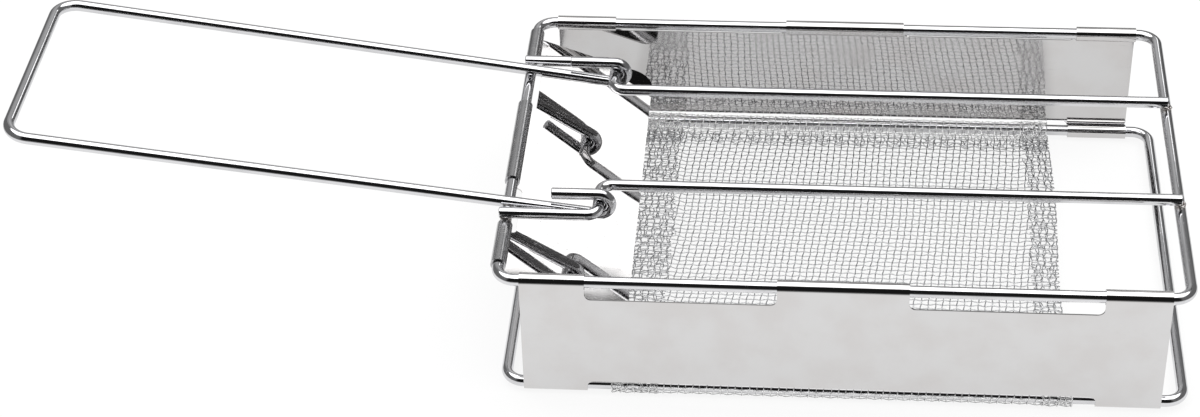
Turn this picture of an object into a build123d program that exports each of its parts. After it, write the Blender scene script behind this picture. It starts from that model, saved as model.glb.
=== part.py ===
from build123d import *
from math import acos, asin, atan2, cos, degrees, hypot, radians, sin
import os

# Folding camping bread toaster of stainless steel wire, sheet and woven mesh.
# Two wire frames, one above the other, are held apart by two side plates.
# The plates are rolled round the long rails as hinges, so the box folds flat.
# Millimetres, +Z up. The origin is on the stove, under the middle of the box.
# +X points away from the handle.

# Frames: closed loops of round wire, measured between wire centres
# The lower frame has slid a little to the right, and the front plate half as far
wire_d = 3.5
frame_length = 200.0
frame_width = 135.0
frame_gap = 38.5
frame_corner_r = 5.5
frame_slip = 1.2
end_chamfer = 0.25

# Sheet parts and the rolls that make them hinges
sheet_t = 0.5
roll_gap = 0.06
roll_sweep = 300.0
side_plate_play = 0.75
side_roll_end = 19.0
side_roll_mid = 38.0
front_notch_depth = 5.0
back_notch_depth = 3.8
side_notch_r = 2.0
side_tab_width = 19.0
side_foot_gap = 2.5
side_tab_r = 2.0

# End plate, which hangs from the left rail of the upper frame
end_plate_play = 1.25
end_plate_reach = 40.8
end_plate_droop = 20.4
end_roll_end = 19.0
end_roll_mid = 40.0
end_notch_depth = 4.0
end_notch_r = 1.5
end_corner_r = 6.0

# Grill rods that carry the bread, with a sideways jog near the handle
rod_spacing = 50.0
stub_spacing = 80.0
jog_inset = 27.5
jog_bend_r = 3.5
weld_sink = 0.1
rod_overhang = 0.3

# Handle: one bent wire, hooked round the two jogs
arm_spacing = 69.0
bow_spacing = 72.2
handle_reach = 178.5
handle_corner_r = 7.0
hook_gap = 0.08
hook_leg = 14.0
rest_gap = 0.05

# Woven mesh, folded round the long rails of the lower frame
mesh_wire = 0.4
mesh_pitch = 2.15
mesh_length = 135.0
mesh_shift = 0.6
mesh_gap = 0.03
mesh_pinch = 6.0
mesh_turn_in = 9.5
hem_left = 14.0
hem_right = 8.5

# Sizes that follow from the ones above
wire_r = wire_d / 2
roll_inner = wire_r + roll_gap
roll_outer = roll_inner + sheet_t
side_length = frame_length - 2 * frame_corner_r - 2 * side_plate_play
end_width = frame_width - 2 * frame_corner_r - 2 * end_plate_play
layer = mesh_wire + mesh_gap
fold_t = mesh_wire + layer
wrap_r = wire_r + mesh_gap + fold_t / 2
mesh_left = mesh_shift - mesh_length / 2
mesh_right = mesh_shift + mesh_length / 2
low_z = wrap_r + fold_t / 2
high_z = low_z + frame_gap
rod_z = high_z + wire_d - weld_sink
jog_x = jog_inset - frame_length / 2
hook_r = wire_d + hook_gap


def round_wire(path):
    """Round bar of the frame wire along a path."""
    section = Plane(origin=path @ 0, z_dir=path % 0) * Circle(wire_r)
    return sweep(section, path=path)


def dress_ends(wire):
    """Takes the burr off both cut ends of a wire."""
    rims = wire.faces().filter_by(GeomType.PLANE).edges()
    return chamfer(rims, end_chamfer)


def wire_frame(height):
    """Closed rectangular loop, bent from one wire and butt welded."""
    half_x = frame_length / 2
    half_y = frame_width / 2
    corners = [(0, -half_y), (half_x, -half_y), (half_x, half_y), (0, half_y)]
    half_loop = FilletPolyline(*[(x, y, height) for x, y in corners], radius=frame_corner_r)
    right = round_wire(half_loop)
    left = mirror(right, about=Plane.YZ)
    return right + left


def grill_rod(side):
    """Rod from the right rail to the jog, then a stub out to the left rail."""
    right = frame_length / 2 + rod_overhang
    left = -frame_length / 2 - wire_r
    rod_y = side * rod_spacing / 2
    stub_y = side * stub_spacing / 2
    route = [(right, rod_y), (jog_x, rod_y), (jog_x, stub_y), (left, stub_y)]
    path = FilletPolyline(*[(x, y, rod_z) for x, y in route], radius=jog_bend_r)
    return dress_ends(round_wire(path))


def handle_tilt():
    """Angle of the arms when they lie on the left rail and pass under the jogs."""
    rise = rod_z - high_z
    span = hypot(jog_inset, rise)
    return asin((hook_r + wire_d + rest_gap) / span) - atan2(rise, jog_inset)


def arm(side):
    """Hook's leg, hook and far corner of one arm, in the arm's own upright plane.

    The arm splays a little, so that the bow is wider at its end than at the hooks.
    The hook runs over the jog, round it and under it, with its cut end left of it.
    """
    tilt = handle_tilt()
    splay = asin((bow_spacing - arm_spacing) / (2 * handle_reach * cos(tilt)))
    along = Vector(cos(splay), -side * sin(splay), 0)
    up = Vector(0, 0, 1)
    centre = Vector(jog_x, side * arm_spacing / 2, rod_z)

    def on_hook(angle):
        return centre + along * (hook_r * cos(angle)) + up * (hook_r * sin(angle))

    top = radians(90)
    foot = radians(-90) - tilt
    leg = Line(on_hook(top) - along * hook_leg, on_hook(top))
    turn = ThreePointArc(on_hook(top), on_hook((top + foot) / 2), on_hook(foot))
    corner = on_hook(foot) + (up * sin(tilt) - along * cos(tilt)) * handle_reach
    return leg, turn, corner


def handle():
    """One wire: hook, arm, end bar, arm and hook, at rest on the left rail."""
    near_leg, near_turn, near_corner = arm(-1)
    far_leg, far_turn, far_corner = arm(1)
    bow = FilletPolyline(near_turn @ 1, near_corner, far_corner, far_turn @ 1,
                         radius=handle_corner_r)
    path = Wire([near_leg, near_turn] + bow.edges() + [far_turn, far_leg])
    return dress_ends(round_wire(path))


def roll(width, sweep_angle):
    """Rolled edge of a sheet round a rail that lies on local Z."""
    inner = CenterArc((0, 0), roll_inner, 0, sweep_angle)
    outer = CenterArc((0, 0), roll_outer, 0, sweep_angle)
    ends = [Line(inner @ 0, outer @ 0), Line(inner @ 1, outer @ 1)]
    return extrude(make_face([inner, outer] + ends), amount=width / 2, both=True)


def roll_row(width, end_roll, mid_roll):
    """Three rolls as (centre, width), two at the ends and one in the middle."""
    end_centre = (width - end_roll) / 2
    return [(-end_centre, end_roll), (0, mid_roll), (end_centre, end_roll)]


def flat_sheet(low, high, width):
    """Flat of a sheet, off the rail's axis on local X, with Y along the sheet."""
    middle = (roll_inner + roll_outer) / 2
    return Pos(middle, (low + high) / 2, 0) * Box(sheet_t, high - low, width)


def notch(rolls, index, depth, corner_r):
    """Cutter for the gap between one roll and the next, with rounded corners."""
    start = rolls[index][0] + rolls[index][1] / 2
    end = rolls[index + 1][0] - rolls[index + 1][1] / 2
    face = RectangleRounded(2 * depth, end - start, corner_r)
    sheet_plane = Plane(origin=(0, 0, (start + end) / 2), x_dir=(0, 1, 0), z_dir=(1, 0, 0))
    return extrude(sheet_plane * face, amount=2 * roll_outer)


def side_plate(side, notch_depth, shift):
    """Side plate with three rolls on the upper rail and two on the lower one."""
    rolls = roll_row(side_length, side_roll_end, side_roll_mid)
    plate = flat_sheet(0, frame_gap, side_length)
    for index in (0, 1):
        plate -= Pos(0, frame_gap, 0) * notch(rolls, index, notch_depth, side_notch_r)
    tab_centre = (side_length - side_tab_width) / 2
    tabs = [(-tab_centre, side_tab_width), (tab_centre, side_tab_width)]
    plate -= notch(tabs, 0, side_foot_gap, side_tab_r)
    for centre, width in rolls:
        plate += Pos(0, frame_gap, centre) * roll(width, roll_sweep)
    for centre, width in tabs:
        plate += Pos(0, 0, centre) * roll(width, -roll_sweep)
    foot = (shift, -frame_width / 2, low_z)
    stand = Plane(origin=foot, x_dir=(0, -1, 0), z_dir=(-1, 0, 0))
    front = stand.location * plate
    return front if side < 0 else mirror(front, about=Plane.XZ)


def end_plate():
    """Flap on the left upper rail, three rolls and a free edge with round corners."""
    rolls = roll_row(end_width, end_roll_end, end_roll_mid)
    plate = flat_sheet(-end_plate_reach, 0, end_width)
    free_corners = plate.edges().filter_by(Axis.X).group_by(Axis.Y)[0]
    plate = fillet(free_corners, end_corner_r)
    for index in (0, 1):
        plate -= notch(rolls, index, end_notch_depth, end_notch_r)
    for centre, width in rolls:
        plate += Pos(0, 0, centre) * roll(width, roll_sweep)
    droop = radians(end_plate_droop)
    hang = Plane(origin=(-frame_length / 2, 0, high_z),
                 x_dir=(-sin(droop), 0, -cos(droop)), z_dir=(0, 1, 0))
    return hang.location * plate


def edge_path():
    """Line of a folded mesh edge: up over the rail, round it and back underneath.

    Local X is the distance from the box's middle and Y the height over the rail's
    centre. The fold is drawn as one strip, as thick as both layers of wire.
    """
    rail = Vector(frame_width / 2, 0)
    pinch = frame_width / 2 - mesh_pinch
    back = frame_width / 2 - mesh_turn_in
    top = layer / 2
    under = top - 2 * layer
    over_angle = degrees(atan2(top, -mesh_pinch) - acos(wrap_r / hypot(mesh_pinch, top)))
    under_angle = degrees(atan2(under, -mesh_pinch) + acos(wrap_r / hypot(mesh_pinch, under)))
    turn = CenterArc(rail, wrap_r, over_angle, under_angle - over_angle)
    return [Line((pinch, top), turn @ 0), turn, Line(turn @ 1, (pinch, under)),
            Line((pinch, under), (back, under))]


def mesh_edge(side):
    """Edge of the mesh, folded round a long rail of the lower frame."""
    across = Plane(origin=(mesh_shift, 0, low_z), x_dir=(0, 1, 0), z_dir=(1, 0, 0))
    section = trace(edge_path(), line_width=fold_t)
    far = across.location * extrude(section, amount=mesh_length / 2, both=True)
    return far if side > 0 else mirror(far, about=Plane.XZ)


def spread(start, end):
    """Even places between two ends, about one mesh pitch apart."""
    count = max(1, round((end - start) / mesh_pitch))
    step = (end - start) / count
    return [start + step * index for index in range(count + 1)]


def cross_wires():
    """Wires across the box, from fold to fold, and the second layer in both hems."""
    full = frame_width - 2 * mesh_pinch - 2 * mesh_gap
    clear_of_folds = frame_width - 2 * mesh_turn_in - 2 * mesh_gap
    wire = Pos(0, 0, low_z) * Box(mesh_wire, full, mesh_wire)
    hem_wire = Pos(0, 0, low_z - layer) * Box(mesh_wire, clear_of_folds, mesh_wire)
    half_pitch = mesh_pitch / 2
    hems = spread(mesh_left + half_pitch, mesh_left + hem_left)
    hems += spread(mesh_right - hem_right, mesh_right - half_pitch)
    wires = [Pos(x, 0, 0) * wire for x in spread(mesh_left, mesh_right)]
    return wires + [Pos(x, 0, 0) * hem_wire for x in hems]


def hemmed_wire():
    """Square wire along the box, folded under itself at both hems."""
    left = mesh_left - layer
    right = mesh_right + layer
    under = -2 * layer
    points = [(left + hem_left, under), (left, under), (left, layer),
              (right, layer), (right, under), (right - hem_right, under)]
    upright = Plane(origin=(0, 0, low_z), x_dir=(1, 0, 0), z_dir=(0, -1, 0))
    section = trace(Polyline(*points), line_width=mesh_wire)
    return upright.location * extrude(section, amount=mesh_wire / 2, both=True)


def long_wires():
    """Wires along the box: hemmed in the open part, plain beside the folds."""
    half_hemmed = frame_width / 2 - mesh_turn_in - layer
    half_plain = frame_width / 2 - mesh_pinch - layer
    plain = Pos(mesh_shift, 0, low_z + layer) * Box(mesh_length, mesh_wire, mesh_wire)
    hemmed = hemmed_wire()
    wires = [Pos(0, y, 0) * hemmed for y in spread(-half_hemmed, half_hemmed)]
    return wires + [Pos(0, y, 0) * plain for y in (-half_plain, half_plain)]


def write(node, shapes):
    """One STEP file for one node."""
    solids = [solid for shape in shapes for solid in shape.solids()]
    model = Compound(children=solids) if len(solids) > 1 else solids[0]
    model.label = node
    export_step(model, os.path.join("parts", node + ".step"))


os.makedirs("parts", exist_ok=True)
write("lower_frame", [Pos(frame_slip, 0, 0) * wire_frame(low_z)])
write("upper_frame", [wire_frame(high_z)])
write("grill_rod_near", [grill_rod(-1)])
write("grill_rod_far", [grill_rod(1)])
write("handle", [handle()])
write("side_plate_front", [side_plate(-1, front_notch_depth, frame_slip / 2)])
write("side_plate_back", [side_plate(1, back_notch_depth, 0)])
write("end_plate", [end_plate()])
write("mesh_edge_near", [mesh_edge(-1)])
write("mesh_edge_far", [mesh_edge(1)])
write("mesh_cross_wires", cross_wires())
write("mesh_long_wires", long_wires())
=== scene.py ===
import math
import random

import bpy
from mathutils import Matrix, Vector


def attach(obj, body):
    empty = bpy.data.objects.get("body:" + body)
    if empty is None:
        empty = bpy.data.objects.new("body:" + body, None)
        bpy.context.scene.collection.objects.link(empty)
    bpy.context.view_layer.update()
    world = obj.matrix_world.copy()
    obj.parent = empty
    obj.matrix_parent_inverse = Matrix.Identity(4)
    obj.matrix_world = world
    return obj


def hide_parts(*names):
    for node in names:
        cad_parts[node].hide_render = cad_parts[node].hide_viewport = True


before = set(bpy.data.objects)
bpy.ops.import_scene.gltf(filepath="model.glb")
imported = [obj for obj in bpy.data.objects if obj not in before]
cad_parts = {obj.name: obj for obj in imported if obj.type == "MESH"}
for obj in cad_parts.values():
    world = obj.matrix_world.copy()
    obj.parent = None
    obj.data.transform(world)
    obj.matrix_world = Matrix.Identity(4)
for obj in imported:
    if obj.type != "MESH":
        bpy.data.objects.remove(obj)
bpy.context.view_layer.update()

# Camera. It stands a little left of the box's middle and looks down on the box at 37
# degrees, over a long lens, as in the photograph.
lens_mm = 83.4
sensor_mm = 36.0
stand = Vector((-0.0085, -0.6914, 0.5465))
pitch, roll, yaw = (math.radians(angle) for angle in (52.634, 1.440, 4.432))
camera = bpy.data.objects.new("camera", bpy.data.cameras.new("camera"))
camera.data.lens = lens_mm
camera.data.sensor_width = sensor_mm
camera.location = stand
camera.rotation_euler = (pitch, roll, yaw)
bpy.context.scene.collection.objects.link(camera)
bpy.context.scene.camera = camera
bpy.context.scene.view_settings.view_transform = "Standard"

# Background. Plain white, which the polished steel mirrors as well. Dull surfaces get a
# softer light from it.
background_white = 1.0
background_soft = 0.8


def add_node(tree, kind, sockets=None, **settings):
    """Shader node. Each socket is given a value or another node's output."""
    made = tree.nodes.new("ShaderNode" + kind)
    for setting, value in settings.items():
        setattr(made, setting, value)
    for socket, value in (sockets or {}).items():
        if isinstance(value, bpy.types.NodeSocket):
            tree.links.new(value, made.inputs[socket])
        else:
            made.inputs[socket].default_value = value
    return made


def calc(tree, operation, *values, clamp=False):
    """Math node's output, from one to three numbers or sockets."""
    sockets = dict(enumerate(values))
    return add_node(tree, "Math", sockets, operation=operation, use_clamp=clamp).outputs[0]


def vector_calc(tree, operation, *values, output="Vector"):
    """Vector Math node's output, from vectors or sockets."""
    sockets = dict(enumerate(values))
    return add_node(tree, "VectorMath", sockets, operation=operation).outputs[output]


def fade(tree, value, start, end, low=0.0, high=1.0):
    """Value eased from low at start to high at end."""
    sockets = {"Value": value, "From Min": start, "From Max": end, "To Min": low, "To Max": high}
    return add_node(tree, "MapRange", sockets, interpolation_type="SMOOTHSTEP").outputs[0]


def seen_or_mirrored(tree):
    """One for rays from the camera and for rays off gloss or through glass, else zero."""
    path = add_node(tree, "LightPath").outputs
    straight = calc(tree, "ADD", path["Is Camera Ray"], path["Is Glossy Ray"])
    return calc(tree, "ADD", straight, path["Is Transmission Ray"], clamp=True)


world = bpy.data.worlds.new("studio")
bpy.context.scene.world = world
world.use_nodes = True
sky = world.node_tree
sky_strength = fade(sky, seen_or_mirrored(sky), 0, 1, background_soft, background_white)
sky.links.new(sky_strength, sky.nodes["Background"].inputs["Strength"])
sky.nodes["Background"].inputs["Color"].default_value = (1, 1, 1, 1)

# Floor. A pale matt table that keeps the toaster's shadow. In the steel it is white round the box
# and falls away into the dark room, with painted shade darker towards the back and a painted
# shadow under the mesh.
floor_z = -0.0004
floor_half = 4.0
floor_colour = (0.88, 0.88, 0.88, 1)
floor_glow = 0.86
lit_patch_centre = (-0.06, 0.0, 0.0)
lit_patch_half = (0.24, 0.075, 1.0)
lit_patch_end = 0.06
dark_room_start = 0.20
dark_room = 0.03
# Painted shade in the steel: the floor darkens from open_y towards shaded_y, as if in the box's
# shadow.
open_y = -0.10
shaded_y = 0.05
floor_open = 0.98
floor_shaded = 0.84
# Painted shadow of the mesh in the steel: the floor is greyer under the mesh.
meshed_half = (0.068, 0.0675)
meshed_edge = 0.006
mesh_shadow_level = 0.86


def new_object(name, points, faces):
    """Smooth mesh object from points and faces, linked into the scene."""
    mesh = bpy.data.meshes.new(name)
    mesh.from_pydata(points, [], faces)
    mesh.update()
    mesh.polygons.foreach_set("use_smooth", [True] * len(mesh.polygons))
    made = bpy.data.objects.new(name, mesh)
    bpy.context.scene.collection.objects.link(made)
    return made


def new_material(name):
    """Empty node material and its output node."""
    material = bpy.data.materials.new(name)
    material.use_nodes = True
    tree = material.node_tree
    tree.nodes.clear()
    return material, tree, add_node(tree, "OutputMaterial")


square = [(-1, -1), (1, -1), (1, 1), (-1, 1)]
floor_corners = [(x * floor_half, y * floor_half, floor_z) for x, y in square]
floor = new_object("floor", floor_corners, [(0, 1, 2, 3)])
floor_paint, tree, output = new_material("floor_paint")
place = add_node(tree, "TexCoord").outputs["Object"]
aside = vector_calc(tree, "ABSOLUTE", vector_calc(tree, "SUBTRACT", place, lit_patch_centre))
beyond = vector_calc(tree, "SUBTRACT", aside, lit_patch_half)
beyond = vector_calc(tree, "MAXIMUM", beyond, (0, 0, 0))
distance = vector_calc(tree, "LENGTH", beyond, output="Value")
mirrored_white = fade(tree, distance, lit_patch_end, dark_room_start, 1.0, dark_room)
apart = add_node(tree, "SeparateXYZ", {0: place}).outputs
# Painted shade: in the steel the floor darkens towards the back, as if the box shaded it.
shaded = fade(tree, apart[1], open_y, shaded_y, floor_open, floor_shaded)
mirrored_white = calc(tree, "MULTIPLY", mirrored_white, shaded)
# Painted shadow of the mesh: in the steel the floor is greyer under the mesh.
meshed = 1.0
for axis, half in enumerate(meshed_half):
    off_middle = calc(tree, "ABSOLUTE", apart[axis])
    meshed = calc(tree, "MULTIPLY", fade(tree, off_middle, half + meshed_edge, half), meshed)
painted_mesh_shadow = fade(tree, meshed, 0, 1, 1.0, mesh_shadow_level)
mirrored_white = calc(tree, "MULTIPLY", mirrored_white, painted_mesh_shadow)
glossy = add_node(tree, "LightPath").outputs["Is Glossy Ray"]
darkening = calc(tree, "MULTIPLY", glossy, calc(tree, "SUBTRACT", 1.0, mirrored_white))
glow = calc(tree, "SUBTRACT", 1.0, darkening)
matt = add_node(tree, "BsdfDiffuse", {"Color": floor_colour})
shine = add_node(tree, "Emission", {"Color": (1, 1, 1, 1), "Strength": glow})
share = calc(tree, "MULTIPLY", seen_or_mirrored(tree), floor_glow)
mixed = add_node(tree, "MixShader", {0: share, 1: matt.outputs[0], 2: shine.outputs[0]})
tree.links.new(mixed.outputs[0], output.inputs["Surface"])
floor.data.materials.append(floor_paint)

# Dark screen. A cloth stands round the table: black in front and pale only high up, dark
# at the sides, grey and lower behind the toaster. Only the steel sees it, and it draws
# the black line along every wire.
screen_radius = 1.1
screen_high = math.radians(68)
screen_low = math.radians(50)
screen_front = math.radians(60)
screen_turn = math.radians(110)
screen_steps = 72
front_shade = 0.012
front_pale_start = 1.7
front_pale_end = 2.7
back_shade_low = 0.20
back_shade_high = 0.54
back_full_z = 0.55
back_dim_start = 0.80
back_dim_end = 1.05
dim_share = 0.7
right_start = -0.2
right_end = 0.45
right_share = 0.35
left_start = -0.25
left_end = -0.50
left_share = 0.75
behind_start = -0.2
behind_end = 0.6
side_start = 0.62
side_end = 0.82
side_shade = 0.16


def ease(value):
    """Smooth step from 0 to 1."""
    value = min(1.0, max(0.0, value))
    return value * value * (3 - 2 * value)


screen_points = []
for step in range(screen_steps):
    angle = 2 * math.pi * step / screen_steps
    from_front = abs(math.pi - angle)
    height = ease((from_front - screen_front) / (screen_turn - screen_front))
    top = math.tan(screen_high + (screen_low - screen_high) * height) * screen_radius
    x = -math.sin(angle) * screen_radius
    y = math.cos(angle) * screen_radius
    screen_points += [(x, y, floor_z), (x, y, top)]
around = 2 * screen_steps
screen_faces = [(i, (i + 2) % around, (i + 3) % around, i + 1) for i in range(0, around, 2)]
screen = new_object("dark_screen", screen_points, screen_faces)
for ray in ("camera", "diffuse", "transmission", "volume_scatter", "shadow"):
    setattr(screen, "visible_" + ray, False)
screen_cloth, tree, output = new_material("screen_cloth")
place = add_node(tree, "TexCoord").outputs["Object"]
apart = add_node(tree, "SeparateXYZ", {0: place}).outputs
back_shade = fade(tree, apart[2], 0.0, back_full_z, back_shade_low, back_shade_high)
for share in (fade(tree, apart[2], back_dim_start, back_dim_end, 1.0, dim_share),
              fade(tree, apart[0], right_start, right_end, 1.0, right_share),
              fade(tree, apart[0], left_start, left_end, 1.0, left_share)):
    back_shade = calc(tree, "MULTIPLY", back_shade, share)
front = fade(tree, apart[2], front_pale_start, front_pale_end, front_shade, 1.0)
behind = fade(tree, apart[1], behind_start, behind_end)
shade = calc(tree, "MULTIPLY_ADD", behind, calc(tree, "SUBTRACT", back_shade, front), front)
aside = fade(tree, calc(tree, "ABSOLUTE", apart[0]), side_start, side_end)
shade = calc(tree, "MULTIPLY_ADD", aside, calc(tree, "SUBTRACT", side_shade, shade), shade)
dark = add_node(tree, "Emission", {"Color": (1, 1, 1, 1), "Strength": shade})
tree.links.new(dark.outputs[0], output.inputs["Surface"])
screen.data.materials.append(screen_cloth)

# Lamps. A wide softbox overhead gives the wires their white upper side. A small one
# stands upright behind on the right, and the hanging end plate mirrors it.
lamp_glow = 1.5
overhead_place = (0.0, 0.2, 1.25)
overhead_turn = (0.0, 0.0, 0.0)
overhead_size = (2.4, 1.5)
behind_place = (0.310, 0.95, 0.630)
behind_turn = (math.radians(-90), math.radians(27), 0.0)
behind_size = (0.22, 0.203)
for lamp_name, lamp_place, lamp_turn, size in (
        ("overhead_lamp", overhead_place, overhead_turn, overhead_size),
        ("behind_lamp", behind_place, behind_turn, behind_size)):
    light = bpy.data.lights.new(lamp_name, "AREA")
    light.shape = "RECTANGLE"
    light.size, light.size_y = size
    light.energy = lamp_glow * math.pi * size[0] * size[1]
    lamp = bpy.data.objects.new(lamp_name, light)
    lamp.location = lamp_place
    lamp.rotation_euler = lamp_turn
    bpy.context.scene.collection.objects.link(lamp)

# Lower frame. One loop of bright stainless wire, 3.5 mm thick, bent round four small
# corners and butt welded. The mesh is folded round its long rails.
wire_colour = (0.72, 0.72, 0.735, 1)
wire_smudged = (0.60, 0.60, 0.615, 1)
wire_roughness = 0.05
wire_haze = 0.09
smudge_share = 0.7
scratch_roughness = 0.10
line_roughness = 0.04
heat_roughness = 0.2
line_height = 0.000004
line_strength = 0.5
scratch_depth = 1.5


def new_group(name, inputs, outputs):
    """Shader node group with named sockets. Returns its tree, its inputs and its end."""
    tree = bpy.data.node_groups.new(name, "ShaderNodeTree")
    for label, kind, value in inputs:
        socket = tree.interface.new_socket(label, in_out="INPUT", socket_type="NodeSocket" + kind)
        if value is not None:
            socket.default_value = value
    for label, kind in outputs:
        tree.interface.new_socket(label, in_out="OUTPUT", socket_type="NodeSocket" + kind)
    start = tree.nodes.new("NodeGroupInput")
    return tree, start.outputs, tree.nodes.new("NodeGroupOutput")


def use_group(tree, group, sockets):
    """Places a node group in a material and returns its outputs."""
    made = tree.nodes.new("ShaderNodeGroup")
    made.node_tree = group
    for socket, value in sockets.items():
        if isinstance(value, bpy.types.NodeSocket):
            tree.links.new(value, made.inputs[socket])
        else:
            made.inputs[socket].default_value = value
    return made.outputs


def noise(tree, vector, scale, detail=2.0, distortion=0.0):
    """Value of a noise texture, about 0.5 on average."""
    sockets = {"Vector": vector, "Scale": scale, "Detail": detail, "Distortion": distortion}
    return add_node(tree, "TexNoise", sockets).outputs[0]


def blend_colour(tree, share, first, second):
    """Colour between two colours."""
    mix = add_node(tree, "Mix", {0: share, 6: first, 7: second}, data_type="RGBA")
    return mix.outputs[2]


# Fine lines along a wire from the drawing die. They turn from X to Y where the wire is
# further from the middle along X than the turn.
drawn_lines, start, end = new_group(
    "drawn_lines",
    [("Place", "Vector", None), ("Turn", "Float", 10.0), ("Line width", "Float", 0.00016),
     ("Stretch", "Float", 60.0)],
    [("Lines", "Float")])
tree = drawn_lines
apart = add_node(tree, "SeparateXYZ", {0: start["Place"]}).outputs
crosswise = calc(tree, "GREATER_THAN", calc(tree, "ABSOLUTE", apart[0]), start["Turn"])
lengthwise = calc(tree, "SUBTRACT", 1.0, crosswise)
long_scale = calc(tree, "DIVIDE", 1.0, start["Stretch"])
scale_x = calc(tree, "MAXIMUM", crosswise, long_scale)
scale_y = calc(tree, "MAXIMUM", lengthwise, long_scale)
stretch = add_node(tree, "CombineXYZ", {0: scale_x, 1: scale_y, 2: 1.0}).outputs[0]
scaled = vector_calc(tree, "MULTIPLY", start["Place"], stretch)
lines = noise(tree, scaled, calc(tree, "DIVIDE", 1.0, start["Line width"]), 2.0)
tree.links.new(lines, end.inputs["Lines"])

# Marks of handling: soft hazy patches where fingers rubbed, and fine scratches that run
# two ways.
haze_start = 0.46
haze_end = 0.74
scratch_start = 0.70
scratch_end = 0.76
scratch_stretch = (0.03, 1.0, 1.0)
scratch_runs = [((3.0, 0, 0), (0.15, 0.2, 0.5)), ((7.0, 0, 0), (-0.27, 0.2, -0.9))]
handling_marks, start, end = new_group(
    "handling_marks",
    [("Place", "Vector", None), ("Patch size", "Float", 0.012),
     ("Scratch width", "Float", 0.0004)],
    [("Haze", "Float"), ("Scratches", "Float")])
tree = handling_marks
patches = noise(tree, start["Place"], calc(tree, "DIVIDE", 1.0, start["Patch size"]), 3.0, 0.4)
tree.links.new(fade(tree, patches, haze_start, haze_end), end.inputs["Haze"])
scratch_sum = 0.0
for offset, turn in scratch_runs:
    turned = add_node(tree, "Mapping", {"Vector": start["Place"], "Location": offset,
                                        "Rotation": turn, "Scale": scratch_stretch}).outputs[0]
    streaks = noise(tree, turned, calc(tree, "DIVIDE", 1.0, start["Scratch width"]), 1.0)
    scratch_sum = calc(tree, "ADD", fade(tree, streaks, scratch_start, scratch_end), scratch_sum)
tree.links.new(calc(tree, "MINIMUM", scratch_sum, 1.0), end.inputs["Scratches"])


def bright_wire(name, turn, tint=None):
    """Material of a bent wire. Its lines run along X as far out as the turn, then along Y."""
    material, tree, output = new_material(name)
    place = add_node(tree, "TexCoord").outputs["Object"]
    lines = use_group(tree, drawn_lines, {"Place": place, "Turn": turn})["Lines"]
    marks = use_group(tree, handling_marks, {"Place": place})
    smudge = calc(tree, "MULTIPLY", marks["Haze"], smudge_share)
    colour = blend_colour(tree, smudge, wire_colour, wire_smudged)
    rough = calc(tree, "MULTIPLY_ADD", marks["Haze"], wire_haze, wire_roughness)
    rough = calc(tree, "MULTIPLY_ADD", marks["Scratches"], scratch_roughness, rough)
    if tint:
        heated = use_group(tree, tint, {"Place": place, "Metal": colour})
        colour = heated["Colour"]
        rough = calc(tree, "MULTIPLY_ADD", heated["Heat"], heat_roughness, rough)
    rough = calc(tree, "MULTIPLY_ADD", lines, line_roughness, rough)
    scored = calc(tree, "MULTIPLY", marks["Scratches"], scratch_depth)
    relief = calc(tree, "SUBTRACT", lines, scored)
    bump = add_node(tree, "Bump", {"Height": relief, "Strength": line_strength,
                                   "Distance": line_height})
    steel = add_node(tree, "BsdfPrincipled", {"Base Color": colour, "Metallic": 1.0,
                                              "Roughness": rough, "Normal": bump.outputs[0]})
    tree.links.new(steel.outputs[0], output.inputs["Surface"])
    return material


def dress(node, material):
    """Gives a CAD node its finished material."""
    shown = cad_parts[node]
    shown.data.materials.clear()
    shown.data.materials.append(material)


frame_turn = 0.0965
dress("lower_frame", bright_wire("lower_frame_wire", frame_turn))

# Woven mesh. Plain weave of thin round stainless wires, twelve to the inch. Its short
# edges are hemmed, and its long edges are folded round the rails and back underneath.
column_pitch = 0.00215
row_pitch = 0.00202
thread_r = 0.00019
worn_r = 0.00015
worn_start = 0.0034
worn_depth = 0.0007
thread_sides = 5
crimp = 0.00019
rail_y = 0.0675
rail_z = 0.00261
mesh_left = -0.0669
mesh_right = 0.0681
hem_left = 0.014
hem_right = 0.0085
hem_step = 0.00045
hem_ramp = 0.003
hem_pressed = 0.65
press_ramp = 0.002
pinch_in = 0.006
turned_in = 0.0115
over_z = 0.0002
under_z = -0.00052
wrap_radius = 0.00213
skew = 0.09
hem_slip = 0.0008
hem_slant = 0.04
loose = 0.00009
hem_loose = 0.00027
turned_loose = 0.00055
sway_share = 0.4
sway_rate = 0.33
crinkle_share = 1.1
crinkle_rate = 2.3
crinkle_drift = 5
ripple_size = 0.0005
ripple_rate_along = 60
ripple_rate_across = 70
ripple_slant = 40
ripple_start = 1.0


def fold_line():
    """Line of the cloth from the box's middle to the turned-in edge, at one rail.

    Each point is a distance from the middle and a height over the rail's centre.
    """
    def tangent_angle(height, sense):
        reach = math.hypot(pinch_in, height)
        return math.atan2(height, -pinch_in) - sense * math.acos(wrap_radius / reach)

    first = tangent_angle(over_z, 1)
    last = tangent_angle(under_z, -1)
    pinch = rail_y - pinch_in
    line = [(0.0, over_z), (pinch, over_z)]
    arc_steps = 14
    for step in range(arc_steps + 1):
        angle = first + (last - first) * step / arc_steps
        line.append((rail_y + wrap_radius * math.cos(angle), wrap_radius * math.sin(angle)))
    line += [(pinch, under_z), (rail_y - turned_in, under_z)]
    return line


def walk(line):
    """Running lengths along a line of points."""
    lengths = [0.0]
    for before, after in zip(line, line[1:]):
        lengths.append(lengths[-1] + math.dist(before, after))
    return lengths


fold = fold_line()
fold_lengths = walk(fold)
fold_near = fold_lengths[1]
fold_far = fold_lengths[-2]
fold_edge = fold_lengths[-1]


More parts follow.
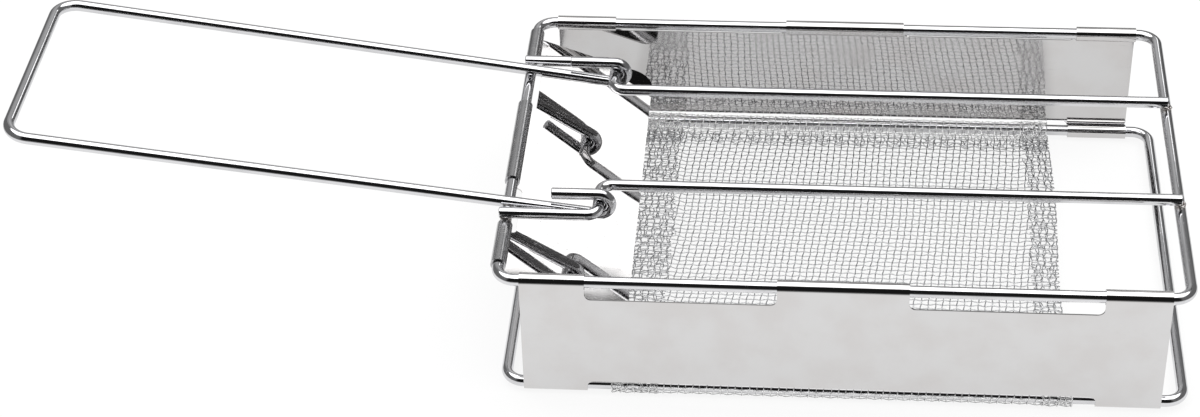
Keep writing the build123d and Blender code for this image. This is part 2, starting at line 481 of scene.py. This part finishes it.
def on_fold(along):
    """Point and outward normal of the cloth at a length from the middle, either side."""
    side = -1 if along < 0 else 1
    length = min(abs(along), fold_edge)
    index = max(i for i in range(len(fold) - 1) if fold_lengths[i] <= length)
    share = (length - fold_lengths[index]) / (fold_lengths[index + 1] - fold_lengths[index])
    here = Vector(fold[index]).lerp(Vector(fold[index + 1]), share)
    before = Vector(fold[max(index - 1, 0)])
    after = Vector(fold[min(index + 2, len(fold) - 1)])
    way = (Vector(fold[index + 1]) - Vector(fold[index])).normalized()
    if share < 0.5 and index > 0:
        way = way.lerp((Vector(fold[index]) - before).normalized(), 0.5 - share)
    if share >= 0.5 and index < len(fold) - 2:
        way = way.lerp((after - Vector(fold[index + 1])).normalized(), share - 0.5)
    way.normalize()
    return side * here.x, here.y, side * -way.y, way.x


hem_turn = math.pi * hem_step / 2
cloth_width = mesh_right - mesh_left
cloth_start = -hem_left - hem_turn
cloth_end = cloth_width + hem_turn + hem_right


def on_hem(along):
    """Place along X and depth under the upper layer, at a length along the cloth."""
    if along < 0:
        turn = min(-along, hem_turn) / hem_turn * math.pi
        back = max(-along - hem_turn, 0)
        x = mesh_left - math.sin(turn) * hem_step / 2 + back
        return x, (1 - math.cos(turn)) * hem_step / 2
    if along > cloth_width:
        turn = min(along - cloth_width, hem_turn) / hem_turn * math.pi
        back = max(along - cloth_width - hem_turn, 0)
        x = mesh_right + math.sin(turn) * hem_step / 2 - back
        return x, (1 - math.cos(turn)) * hem_step / 2
    return mesh_left + along, 0.0


def on_cloth(along, across, crest):
    """Point of the cloth, raised by crest from its middle layer."""
    x, depth = on_hem(along)
    past_edge = max(0, -along, along - cloth_width)
    slip = hem_slip * ease(depth / hem_step) + hem_slant * past_edge
    y, z, normal_y, normal_z = on_fold(across + slip)
    hem = 1 - ease((x - mesh_left - hem_left) / hem_ramp)
    hem += 1 - ease((mesh_right - hem_right - x) / hem_ramp)
    pressed = 1 + (hem_pressed - 1) * ease((abs(across) - fold_near) / press_ramp)
    lift = (hem_step * hem - depth) * pressed + crest
    ripple = ripple_size * math.sin(ripple_rate_along * x + ripple_start)
    ripple *= math.sin(ripple_rate_across * across + ripple_slant * x)
    return Vector((x + ripple, y + normal_y * lift, rail_z + z + normal_z * lift))


def thread(points, faces, path, side):
    """Adds one round wire of the weave along a path, with both ends closed.

    The side is a direction roughly across the wire, from which its ring is turned.
    """
    base = len(points)
    count = len(path)
    for index, here in enumerate(path):
        way = (path[min(index + 1, count - 1)] - path[max(index - 1, 0)]).normalized()
        up = side.cross(way).normalized()
        level = way.cross(up)
        off_rail = math.hypot(abs(here.y) - rail_y, here.z - rail_z)
        radius = thread_r + (worn_r - thread_r) * ease((worn_start - off_rail) / worn_depth)
        for corner in range(thread_sides):
            angle = 2 * math.pi * corner / thread_sides
            points.append(here + radius * (math.cos(angle) * level + math.sin(angle) * up))
    for index in range(count - 1):
        for corner in range(thread_sides):
            a = base + index * thread_sides + corner
            b = base + index * thread_sides + (corner + 1) % thread_sides
            faces.append((a, b, b + thread_sides, a + thread_sides))
    faces.append(tuple(base + corner for corner in reversed(range(thread_sides))))
    last = base + (count - 1) * thread_sides
    faces.append(tuple(last + corner for corner in range(thread_sides)))


weave_random = random.Random(12)
half_count = int(fold_edge / row_pitch)
rows = range(-half_count, half_count + 1)
lean = skew * fold_edge
first_column = int((cloth_start - lean) / column_pitch)
last_column = int((cloth_end + lean) / column_pitch)
columns = range(first_column, last_column + 1)
near_row = fold_near / row_pitch
far_row = fold_far / row_pitch


def woven_place(column, row):
    """Lengths along and across the cloth of a crossing. The wires across lean a little."""
    across = row * row_pitch
    return column * column_pitch + skew * across, across


def in_cloth(along):
    """Whether a length along the cloth lies between its two cut edges."""
    return cloth_start < along < cloth_end


def strayed(along, across, step, stray, drift):
    """How far a wire strays, more in the hems and most in the edges turned under."""
    x = on_hem(along)[0]
    amount = loose
    if x < mesh_left + hem_left or x > mesh_right - hem_right:
        amount = hem_loose
    if abs(across) > fold_far:
        amount = turned_loose
    sway = sway_share * math.sin(step * sway_rate + drift)
    crinkle = crinkle_share * math.sin(step * crinkle_rate - crinkle_drift * drift)
    return amount * (stray + sway + crinkle)


plain_parts = 2
fold_parts = 4
hem_parts = 6
turn_reach = 1.5 * column_pitch
shortest_wire = 4

# Wires across the box: denser steps where they bend round the rails
across_steps = []
for row in rows:
    parts = fold_parts if near_row - 1 < abs(row) < far_row + 1 else plain_parts
    across_steps += [row + part / parts for part in range(parts)]
across_steps = across_steps[:-1]
points, faces = [], []
for column in columns:
    stray = weave_random.uniform(-1, 1)
    drift = weave_random.uniform(0, 2 * math.pi)
    path = []
    for step in across_steps:
        along, across = woven_place(column, step)
        if in_cloth(along):
            crest = crimp * math.cos(math.pi * (step + column))
            along += strayed(along, across, step, stray, drift)
            path.append(on_cloth(along, across, crest))
    if len(path) > shortest_wire:
        thread(points, faces, path, Vector((1, 0, 0)))
mesh_across = new_object("mesh_wires_across", points, faces)
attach(mesh_across, "base")
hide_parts("mesh_cross_wires", "mesh_edge_near", "mesh_edge_far")

# Wires along the box, over and under the ones across, with a turn back in each hem
points, faces = [], []
for row in rows:
    stray = weave_random.uniform(-1, 1)
    drift = weave_random.uniform(0, 2 * math.pi)
    normal_y, normal_z = on_fold(row * row_pitch)[2:]
    flat_way = Vector((0, normal_z, -normal_y))
    path = []
    for column in columns:
        here = woven_place(column, row)[0]
        in_turn = min(abs(here), abs(here - cloth_width)) < turn_reach
        parts = hem_parts if in_turn else plain_parts
        for part in range(parts):
            step = column + part / parts
            along, across = woven_place(step, row)
            if in_cloth(along):
                crest = -crimp * math.cos(math.pi * (step + row))
                across += strayed(along, across, step, stray, drift)
                path.append(on_cloth(along, across, crest))
    thread(points, faces, path, flat_way)
mesh_along = new_object("mesh_wires_along", points, faces)
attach(mesh_along, "base")
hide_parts("mesh_long_wires")

thread_colour = (0.675, 0.68, 0.69, 1)
thread_dull = (0.55, 0.55, 0.56, 1)
thread_roughness = 0.10
# Painted highlight: the wires round the rails and on the slopes beside them get a paler, less
# metallic colour, so that they look white over the rail. They are also rougher there.
rail_highlight_colour = (0.88, 0.88, 0.88, 1)
rail_highlight_roughness = 0.26
rail_highlight_metal = 0.9
rail_highlight_full = 0.0027
rail_highlight_end = 0.0085
cloth_patch = 0.02
cloth_haze = 0.08
speckle_scale = 700.0
speckle_start = 0.45
speckle_end = 0.8
speckle_share = 0.8
pit_scale = 5000.0
pit_strength = 0.4
pit_depth = 0.00001
mesh_steel, tree, output = new_material("mesh_steel")
place = add_node(tree, "TexCoord").outputs["Object"]
marks = use_group(tree, handling_marks, {"Place": place, "Patch size": cloth_patch})
speckle = fade(tree, noise(tree, place, speckle_scale), speckle_start, speckle_end)
dullness = calc(tree, "MULTIPLY", speckle, speckle_share)
colour = blend_colour(tree, dullness, thread_colour, thread_dull)
rough = calc(tree, "MULTIPLY_ADD", marks["Haze"], cloth_haze, thread_roughness)
bump = add_node(tree, "Bump", {"Height": noise(tree, place, pit_scale),
                               "Strength": pit_strength, "Distance": pit_depth})
apart = add_node(tree, "SeparateXYZ", {0: place}).outputs
beside = add_node(tree, "CombineXYZ", {1: calc(tree, "ABSOLUTE", apart[1]),
                                       2: apart[2]}).outputs[0]
off_rail = vector_calc(tree, "DISTANCE", beside, (0, rail_y, rail_z), output="Value")
# Painted highlight round the rails: paler, less metallic and rougher near them.
painted_rail_highlight = fade(tree, off_rail, rail_highlight_end, rail_highlight_full)
colour = blend_colour(tree, painted_rail_highlight, colour, rail_highlight_colour)
metal = fade(tree, painted_rail_highlight, 0.0, 1.0, 1.0, rail_highlight_metal)
rough = calc(tree, "MULTIPLY_ADD", painted_rail_highlight, rail_highlight_roughness - thread_roughness, rough)
steel = add_node(tree, "BsdfPrincipled", {"Base Color": colour, "Metallic": metal,
                                          "Roughness": rough, "Normal": bump.outputs[0]})
tree.links.new(steel.outputs[0], output.inputs["Surface"])
mesh_across.data.materials.append(mesh_steel)
mesh_along.data.materials.append(mesh_steel)

# Side plates. Thin bright stainless sheet, sheared and rolled round the long rails of
# both frames, three rolls above and two below. The rolls are the hinges.
sheet_colour = (0.68, 0.675, 0.675, 1)
sheet_warm = (0.65, 0.635, 0.63, 1)
sheet_roughness = 0.03
sheet_haze = 0.04
sheet_patch = 0.02
sheet_scratch_roughness = 0.15
mill_roughness = 0.02
mill_height = 0.0000008
mill_strength = 0.3
mill_stretch = (0.02, 1.0, 1.0)
blotch_scale = 70.0
blotch_start = 0.35
blotch_end = 0.7
side_wave = 0.00025

# Long soft waves of a thin sheet that has been bent, and the lines of the rolling mill
sheet_surface, start, end = new_group(
    "sheet_surface",
    [("Place", "Vector", None), ("Wave length", "Float", 0.03), ("Line width", "Float", 0.0002)],
    [("Waves", "Float"), ("Mill lines", "Float"), ("Blotches", "Float")])
tree = sheet_surface
waves = noise(tree, start["Place"], calc(tree, "DIVIDE", 1.0, start["Wave length"]), 1.0)
tree.links.new(waves, end.inputs["Waves"])
flattened = vector_calc(tree, "MULTIPLY", start["Place"], mill_stretch)
mill = noise(tree, flattened, calc(tree, "DIVIDE", 1.0, start["Line width"]), 3.0)
tree.links.new(mill, end.inputs["Mill lines"])
blotches = noise(tree, start["Place"], blotch_scale, 3.0)
tree.links.new(fade(tree, blotches, blotch_start, blotch_end), end.inputs["Blotches"])


def bright_sheet(name, wave_height, roughness=sheet_roughness, haze=sheet_haze):
    """Material of a sheet part, with its tree, place, shader, colour and roughness."""
    material, tree, output = new_material(name)
    place = add_node(tree, "TexCoord").outputs["Object"]
    surface = use_group(tree, sheet_surface, {"Place": place})
    marks = use_group(tree, handling_marks, {"Place": place, "Patch size": sheet_patch})
    colour = blend_colour(tree, surface["Blotches"], sheet_colour, sheet_warm)
    rough = calc(tree, "MULTIPLY_ADD", marks["Haze"], haze, roughness)
    rough = calc(tree, "MULTIPLY_ADD", marks["Scratches"], sheet_scratch_roughness, rough)
    rough = calc(tree, "MULTIPLY_ADD", surface["Mill lines"], mill_roughness, rough)
    scored = calc(tree, "MULTIPLY", marks["Scratches"], scratch_depth)
    relief = calc(tree, "SUBTRACT", surface["Mill lines"], scored)
    waved = add_node(tree, "Bump", {"Height": surface["Waves"], "Strength": 1.0,
                                    "Distance": wave_height})
    bump = add_node(tree, "Bump", {"Height": relief, "Strength": mill_strength,
                                   "Distance": mill_height, "Normal": waved.outputs[0]})
    steel = add_node(tree, "BsdfPrincipled", {"Base Color": colour, "Metallic": 1.0,
                                              "Roughness": rough, "Normal": bump.outputs[0]})
    tree.links.new(steel.outputs[0], output.inputs["Surface"])
    return material, tree, place, steel, colour, rough


side_sheet = bright_sheet("side_plate_sheet", side_wave)[0]
dress("side_plate_front", side_sheet)
dress("side_plate_back", side_sheet)

# Upper frame. The same loop of bright stainless wire as below, with the rods spot welded
# on top of its short rails. The upper rolls of all three plates turn on it.

# Heat tint round the four spot welds between rods and upper frame: straw, then brown
weld_x = 0.1
weld_left_y = 0.04
weld_right_y = 0.025
weld_z = 0.04286
tint_reach = 0.0038
tint_full = 0.0016
tint_ragged = 0.0016
tint_ragged_scale = 900.0
tint_share = 0.6
straw = (0.70, 0.64, 0.52, 1)
brown = (0.42, 0.36, 0.33, 1)
weld_tint, start, end = new_group(
    "weld_tint", [("Place", "Vector", None), ("Metal", "Color", (0.7, 0.7, 0.7, 1))],
    [("Colour", "Color"), ("Heat", "Float")])
tree = weld_tint
apart = add_node(tree, "SeparateXYZ", {0: start["Place"]}).outputs
mirrored = add_node(tree, "CombineXYZ", {0: apart[0], 1: calc(tree, "ABSOLUTE", apart[1]),
                                         2: apart[2]}).outputs[0]
left_weld = (-weld_x, weld_left_y, weld_z)
right_weld = (weld_x, weld_right_y, weld_z)
left_gap = vector_calc(tree, "DISTANCE", mirrored, left_weld, output="Value")
right_gap = vector_calc(tree, "DISTANCE", mirrored, right_weld, output="Value")
nearest = calc(tree, "MINIMUM", left_gap, right_gap)
ragged = calc(tree, "MULTIPLY", noise(tree, start["Place"], tint_ragged_scale), tint_ragged)
heat = fade(tree, calc(tree, "ADD", nearest, ragged), tint_reach, tint_full)
tint = blend_colour(tree, heat, straw, brown)
tinted = blend_colour(tree, calc(tree, "MULTIPLY", heat, tint_share), start["Metal"], tint)
tree.links.new(tinted, end.inputs["Colour"])
tree.links.new(heat, end.inputs["Heat"])
dress("upper_frame", bright_wire("upper_frame_wire", frame_turn, weld_tint))

# Grill rods. Two bright stainless wires carry the bread. Each jogs outwards near the
# handle before it reaches the left rail, and is spot welded on both short rails.
no_turn = 10.0  # further out than the rods reach: their lines run along X throughout
rod_wire = bright_wire("grill_rod_wire", no_turn, weld_tint)
dress("grill_rod_near", rod_wire)
dress("grill_rod_far", rod_wire)

# Weld beads. Where rod and rail were pressed together under current, a little steel
# squeezed out round the contact as a thin ragged collar.
bead_profile = [(0.0010, -0.00036), (0.0014, -0.00030), (0.00165, -0.00004),
                (0.00142, 0.00028), (0.0010, 0.00038)]
bead_steps = 28
swell_wide = 0.07
swell_fine = 0.05
rise = 0.15
bead_random = random.Random(4)
points, faces = [], []
for centre_x, centre_y in ((-weld_x, -weld_left_y), (-weld_x, weld_left_y),
                           (weld_x, -weld_right_y), (weld_x, weld_right_y)):
    base = len(points)
    lobes = [bead_random.uniform(0, 2 * math.pi) for _ in range(3)]
    for step in range(bead_steps):
        angle = 2 * math.pi * step / bead_steps
        swell = 1 + swell_wide * math.sin(3 * angle + lobes[0])
        swell += swell_fine * math.sin(7 * angle + lobes[1])
        tall = 1 + rise * math.sin(5 * angle + lobes[2])
        for radius, height in bead_profile:
            reach = radius * swell
            points.append((centre_x + reach * math.cos(angle),
                           centre_y + reach * math.sin(angle), weld_z + height * tall))
    ring = len(bead_profile)
    for step in range(bead_steps):
        here = base + step * ring
        following = base + (step + 1) % bead_steps * ring
        for row in range(ring):
            beyond_row = (row + 1) % ring
            faces.append((here + row, following + row, following + beyond_row,
                          here + beyond_row))
weld_beads = new_object("weld_beads", points, faces)
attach(weld_beads, "top")
weld_beads.data.materials.append(bright_wire("weld_bead_steel", no_turn, weld_tint))

# End plate. A flap of the same sheet, rolled round the left upper rail in three places.
# Its rolls carry painted shade: a darker colour in patches, and they are rougher there.
flap_x = -0.1
flap_z = 0.04111
roll_reach = 0.0026
roll_fade = 0.0006
# Painted shade on the rolls: darker colour, patchy, with more roughness.
roll_painted_shade = (0.45, 0.45, 0.46, 1)
roll_roughness = 0.22
roll_shade_scale = 260.0
roll_shade_least = 0.55
roll_shade_most = 0.95
roll_shade_start = 0.2
roll_shade_end = 0.75
flap_wave = 0.0002
mirror_roughness = 0.02
mirror_haze = 0.03
end_sheet, tree, place, steel, colour, rough = bright_sheet(
    "end_plate_sheet", flap_wave, mirror_roughness, mirror_haze)
apart = add_node(tree, "SeparateXYZ", {0: place}).outputs
from_axis = add_node(tree, "CombineXYZ", {0: apart[0], 1: 0.0, 2: apart[2]}).outputs[0]
reach = vector_calc(tree, "DISTANCE", from_axis, (flap_x, 0, flap_z), output="Value")
rolled = fade(tree, reach, roll_reach + roll_fade, roll_reach)
# Patches of the painted shade on the rolls.
roll_shade_patches = fade(tree, noise(tree, place, roll_shade_scale, 3.0), roll_shade_start, roll_shade_end,
            roll_shade_least, roll_shade_most)
painted_roll_shade = calc(tree, "MULTIPLY", rolled, roll_shade_patches)
tree.links.new(blend_colour(tree, painted_roll_shade, colour, roll_painted_shade), steel.inputs["Base Color"])
rough = calc(tree, "MULTIPLY_ADD", painted_roll_shade, roll_roughness, rough)
tree.links.new(rough, steel.inputs["Roughness"])
dress("end_plate", end_sheet)

# Handle. One long bright stainless wire bent to a U. Each end passes under a rod's jog
# and curls back over it in a hook, on which the handle swings.
handle_turn = 0.245
dress("handle", bright_wire("handle_wire", handle_turn))
